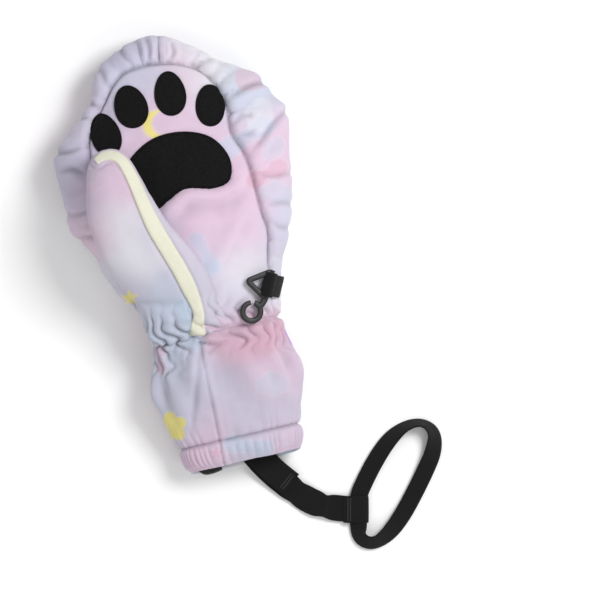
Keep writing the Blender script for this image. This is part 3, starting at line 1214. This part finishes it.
def build_clip():
    """Moulded triangle on its bar, the open hook beyond it, and the webbing that holds the bar."""
    triangle = rounded([(-7.9, 0.0), (-0.8, 12.6), (7.9, 0.0)], 2.2, 90)
    places = np.array([clip_point(s, t) for s, t in triangle])
    pieces = [sweep("clip_triangle", places, places.mean(0) - places, 1.6, 1.2, closed=True, power=3.2)]
    bar = np.array([clip_point(s, 0.0) for s in np.linspace(-8.4, 8.4, 24)])
    pieces.append(sweep("clip_bar", bar, np.tile(CLIP_SIDE, (24, 1)), 1.7, 1.7, power=2.0))
    bends = rounded([(-7.2, 0.0), (-10.5, 0.6), (-13.6, 2.2)], 2.0, 16, False)
    arm = np.array([clip_point(s, t) for s, t in bends])
    pieces.append(sweep("clip_arm", arm, np.tile(CLIP_SIDE + 0.5 * CLIP_BAR, (16, 1)), 1.8, 1.2, power=3.2))
    turn = np.linspace(math.radians(8 + HOOK_GAP), math.radians(8 - HOOK_GAP) + 2 * np.pi, 80)
    hook = np.array([clip_point(HOOK_S + HOOK_R * math.cos(w), HOOK_T + HOOK_R * math.sin(w)) for w in turn])
    taper = 1.6 - 0.25 * np.clip(1 - np.arange(80) / 12, 0, 1)
    pieces.append(sweep("clip_hook", hook, clip_point(HOOK_S, HOOK_T) - hook, taper, 1.2, power=3.2))
    for piece in pieces:
        dress(piece, "clip_black", "clip", ("pairing_clip",) if piece is pieces[0] else ())
    ring_grid = [[clip_point(s, 0) + 2.9 * swell * (CLIP_LEFT * math.cos(w) + UP * math.sin(w))
                  for w in full_turn(48)] for s, swell in ((-6.2, 0.9), (-6.0, 1.0), (6.0, 1.0), (6.2, 0.9))]
    holder = make_mesh("clip_webbing_sleeve", np.array(ring_grid).reshape(-1, 3),
                       flip(grid_faces(4, 48, True)))
    dress(apply_modifiers(thicken(holder, 1.0)), "webbing_black", "mitten", ("clip_webbing",))
    tail_line = open_curve([(37.6, -29.4, 40.6), (39.6, -30.2, 38.4), (41.2, -30.9, 35.2),
                            (42.1, -31.3, 31.0), (41.8, -31.2, 26.6)], 24)
    tail = sweep("clip_webbing_tail", tail_line, np.tile(CLIP_BAR, (24, 1)), 6.2, 0.6)
    dress(tail, "webbing_black", "mitten")


build_clip()


# ---- leash ---------------------------------------------------------------------------------
LEASH_ROUTE = [   # metres: the middle of the webbing
    (0.0004, -0.0880, 0.0077), (0.0016, -0.0980, 0.0062), (0.0030, -0.1080, 0.0055),
    (0.0046, -0.1170, 0.0054), (0.0090, -0.1260, 0.0048), (0.0145, -0.1345, 0.0022),
    (0.0205, -0.1420, 0.0014), (0.0265, -0.1493, 0.0014), (0.0335, -0.1556, 0.0014),
    (0.0420, -0.1602, 0.0015), (0.0520, -0.1632, 0.0017),
]
LOOP_ROUTE = [    # metres: the middle of the tape, which starts and ends inside the fold
    (0.0578, -0.1606, 0.0022), (0.0589, -0.1565, 0.0020), (0.0645, -0.1490, 0.0018),
    (0.0735, -0.1383, 0.0023), (0.0835, -0.1290, 0.0036), (0.0940, -0.1236, 0.0052),
    (0.1040, -0.1238, 0.0059), (0.1093, -0.1315, 0.0050), (0.1060, -0.1420, 0.0032),
    (0.0990, -0.1515, 0.0020), (0.0910, -0.1615, 0.0016), (0.0815, -0.1725, 0.0020),
    (0.0715, -0.1815, 0.0034), (0.0610, -0.1860, 0.0050), (0.0535, -0.1810, 0.0048),
    (0.0553, -0.1721, 0.0026), (0.0560, -0.1684, 0.0022),
]
LOOP_TWIST = (0, 0, 4, 14, 30, 55, 66, 48, 22, 8, 2, 8, 26, 46, 42, 14, 6)   # degrees, at its points
LEASH_HALF_W, LOOP_HALF_W, WEBBING_T = 7.5, 5.0, 1.5
FOLD_CENTRE, FOLD_TURN = np.array([55.6, -164.2, 2.1]), math.radians(-12.8)


def metres(points):
    """Places in mm as plain lists in metres."""
    return (np.asarray(points) * MM).tolist()


def plan_sides(line, twist=None):
    """Directions of a band's width: level across its line, or turned about the line by the twist."""
    tangent = unit(np.gradient(line, axis=0))
    level = unit(np.stack([tangent[:, 1], -tangent[:, 0], 0 * tangent[:, 0]], -1))
    if twist is None:
        return level
    up = np.cross(level, tangent)
    angle = np.radians(twist)[:, None]
    return level * np.cos(angle) + up * np.sin(angle)


def route_line(name, route):
    """Points in mm along a smooth line that has the route's points as its control points."""
    data = bpy.data.curves.new(name, "CURVE")
    data.dimensions = "3D"
    spline = data.splines.new("NURBS")
    spline.points.add(len(route) - 1)
    for point, place in zip(spline.points, route):
        point.co = (*place, 1.0)
    spline.order_u = 3
    spline.use_endpoint_u = True
    spline.resolution_u = 16
    obj = bpy.data.objects.new(name, data)
    bpy.context.scene.collection.objects.link(obj)
    mesh = bpy.data.meshes.new_from_object(obj)
    line = np.array([vertex.co[:] for vertex in mesh.vertices]) / MM
    bpy.data.objects.remove(obj)
    bpy.data.curves.remove(data)
    bpy.data.meshes.remove(mesh)
    return line


def stitch_row(name, centre, side, reach, across, count):
    """A row of black thread over a band, across it from -reach to reach."""
    row = np.array([centre + side * w for w in np.linspace(-reach, reach, count)])
    piece = sweep(name, row, np.tile(across, (count, 1)), 0.3, 0.15)
    return dress(piece, "webbing_black", "mitten", (), "thread_black")


def build_leash():
    """Leash and its sewn doubling, the wrist loop with the fold that holds it, and the sewn anchor."""
    line = route_line("leash_route", LEASH_ROUTE)
    walked = walk(line)
    roll = 9 * bell(walked - 70, 9.0) * np.sin(walked / 4.0)
    lifted = line.copy()
    lifted[:, 2] += 1.7 * np.exp(-np.abs(walked - 84.0) / 3.0) + 0.8 * bell(walked - 68.0, 4.0)
    notch = 1.1 * bell(walked - 84.0, 3.0) + 0.7 * bell(walked - 66.0, 3.0)
    leash = sweep("leash_band", lifted, plan_sides(lifted, roll), LEASH_HALF_W - notch, WEBBING_T / 2)
    dress(leash, "webbing_black", "mitten", ("leash_webbing",))
    upper = line[(walked > 24) & (walked < 61)].copy()
    upper[:, 2] += WEBBING_T + 0.25
    upper[:, :2] += plan_sides(upper)[:, :2] * -1.6
    sides = plan_sides(upper)
    doubled = sweep("leash_doubling", upper, sides, LEASH_HALF_W, WEBBING_T / 2)
    dress(doubled, "webbing_black", "mitten")
    for share in (0.90, 0.95):
        at = int(share * (len(upper) - 1))
        stitch_row("leash_stitch_row", upper[at] + UP * (WEBBING_T / 2 + 0.1), sides[at], 5.2,
                               np.cross(sides[at], UP), 12)
    exit_point = metres(lifted[0])
    metres(lifted)
    loop_line = route_line("loop_route", LOOP_ROUTE)
    loop_walk = walk(loop_line)
    stations = walk(np.array(LOOP_ROUTE))
    twist = hermite(stations / stations[-1], np.array(LOOP_TWIST, float), loop_walk / loop_walk[-1])
    loop = sweep("wrist_loop_band", loop_line, plan_sides(loop_line, twist), LOOP_HALF_W, WEBBING_T / 2)
    dress(loop, "webbing_black", "mitten", ("wrist_loop",))
    along = np.array([math.cos(FOLD_TURN), math.sin(FOLD_TURN), 0])
    side = np.array([-along[1], along[0], 0])
    wrap = []
    for w in full_turn(40):
        u = math.copysign(abs(math.cos(w)) ** 0.55, math.cos(w)) * 6.9
        v = math.copysign(abs(math.sin(w)) ** 0.8, math.sin(w)) * 1.75
        wrap.append(FOLD_CENTRE + along * u + UP * v)
    fold = sweep("leash_fold_band", wrap, np.tile(side, (len(wrap), 1)), 7.7, 0.45, closed=True)
    dress(fold, "webbing_black", "mitten", ("leash_fold",))
    rows = [stitch_row("fold_stitch_row", FOLD_CENTRE + along * offset + UP * 2.25, side, 6.6, along, 14)
            for offset in (-4.6, -3.2)]
    metres(loop_line[0])
    metres(loop_line)
    anchor_line = np.array([(-0.5, -79.5, 10.4), (0.0, -83.0, 9.4), (0.3, -87.0, 8.6)])
    anchor = sweep("leash_anchor_tab", anchor_line, plan_sides(anchor_line), 7.5, 0.75)
    dress(anchor, "webbing_black", "mitten", ("leash_anchor",))


build_leash()


# ---- floor, light and camera ---------------------------------------------------------------
LIGHTS = [   # name, place, size and power
    ("key", (0.80, 0.25, 1.20), 0.55, 14.0), ("fill", (-0.9, -0.1, 1.1), 1.0, 2.6),
    ("low", (0.3, -0.9, 1.1), 0.9, 3.6),
]
FLOOR_Z = -0.0004
CAMERA_CENTRE, CAMERA_UP = Vector((0.0510, -0.0408, 0.0)), Vector((0.222, 0.975, 0.0)).normalized()
CAMERA_HEIGHT, VIEW_WIDTH, SENSOR = 5.0, 0.342, 36.0


def build_stage():
    """Pale floor, soft lights and the camera straight above."""
    bpy.ops.mesh.primitive_plane_add(size=4.0, location=(0.03, -0.03, FLOOR_Z))
    floor = bpy.context.object
    floor.name = "floor"
    material = bpy.data.materials.new("floor_white")
    material.use_nodes = True
    shader = material.node_tree.nodes["Principled BSDF"]
    shader.inputs["Base Color"].default_value = (0.93, 0.93, 0.93, 1)
    shader.inputs["Roughness"].default_value = 0.9
    floor.data.materials.append(material)
    for name, place, size, power in LIGHTS:
        light = bpy.data.lights.new(name, "AREA")
        light.size = size
        light.energy = power
        obj = bpy.data.objects.new(name, light)
        obj.location = place
        aim = Vector((0.03, -0.03, 0)) - Vector(place)
        obj.rotation_euler = aim.to_track_quat("-Z", "Y").to_euler()
        bpy.context.scene.collection.objects.link(obj)
    world = bpy.data.worlds.new("studio")
    world.use_nodes = True
    background = world.node_tree.nodes["Background"]
    background.inputs["Color"].default_value = (1, 1, 1, 1)
    background.inputs["Strength"].default_value = 0.46
    bpy.context.scene.world = world
    camera_data = bpy.data.cameras.new("camera")
    camera_data.sensor_width = SENSOR
    camera_data.lens = SENSOR * CAMERA_HEIGHT / VIEW_WIDTH
    camera = bpy.data.objects.new("camera", camera_data)
    right = CAMERA_UP.cross(Vector((0, 0, 1)))
    camera.matrix_world = Matrix((
        (right.x, CAMERA_UP.x, 0, CAMERA_CENTRE.x), (right.y, CAMERA_UP.y, 0, CAMERA_CENTRE.y),
        (right.z, CAMERA_UP.z, 1, CAMERA_HEIGHT), (0, 0, 0, 1)))
    bpy.context.scene.collection.objects.link(camera)
    bpy.context.scene.camera = camera
    bpy.context.scene.view_settings.view_transform = "Standard"


build_stage()
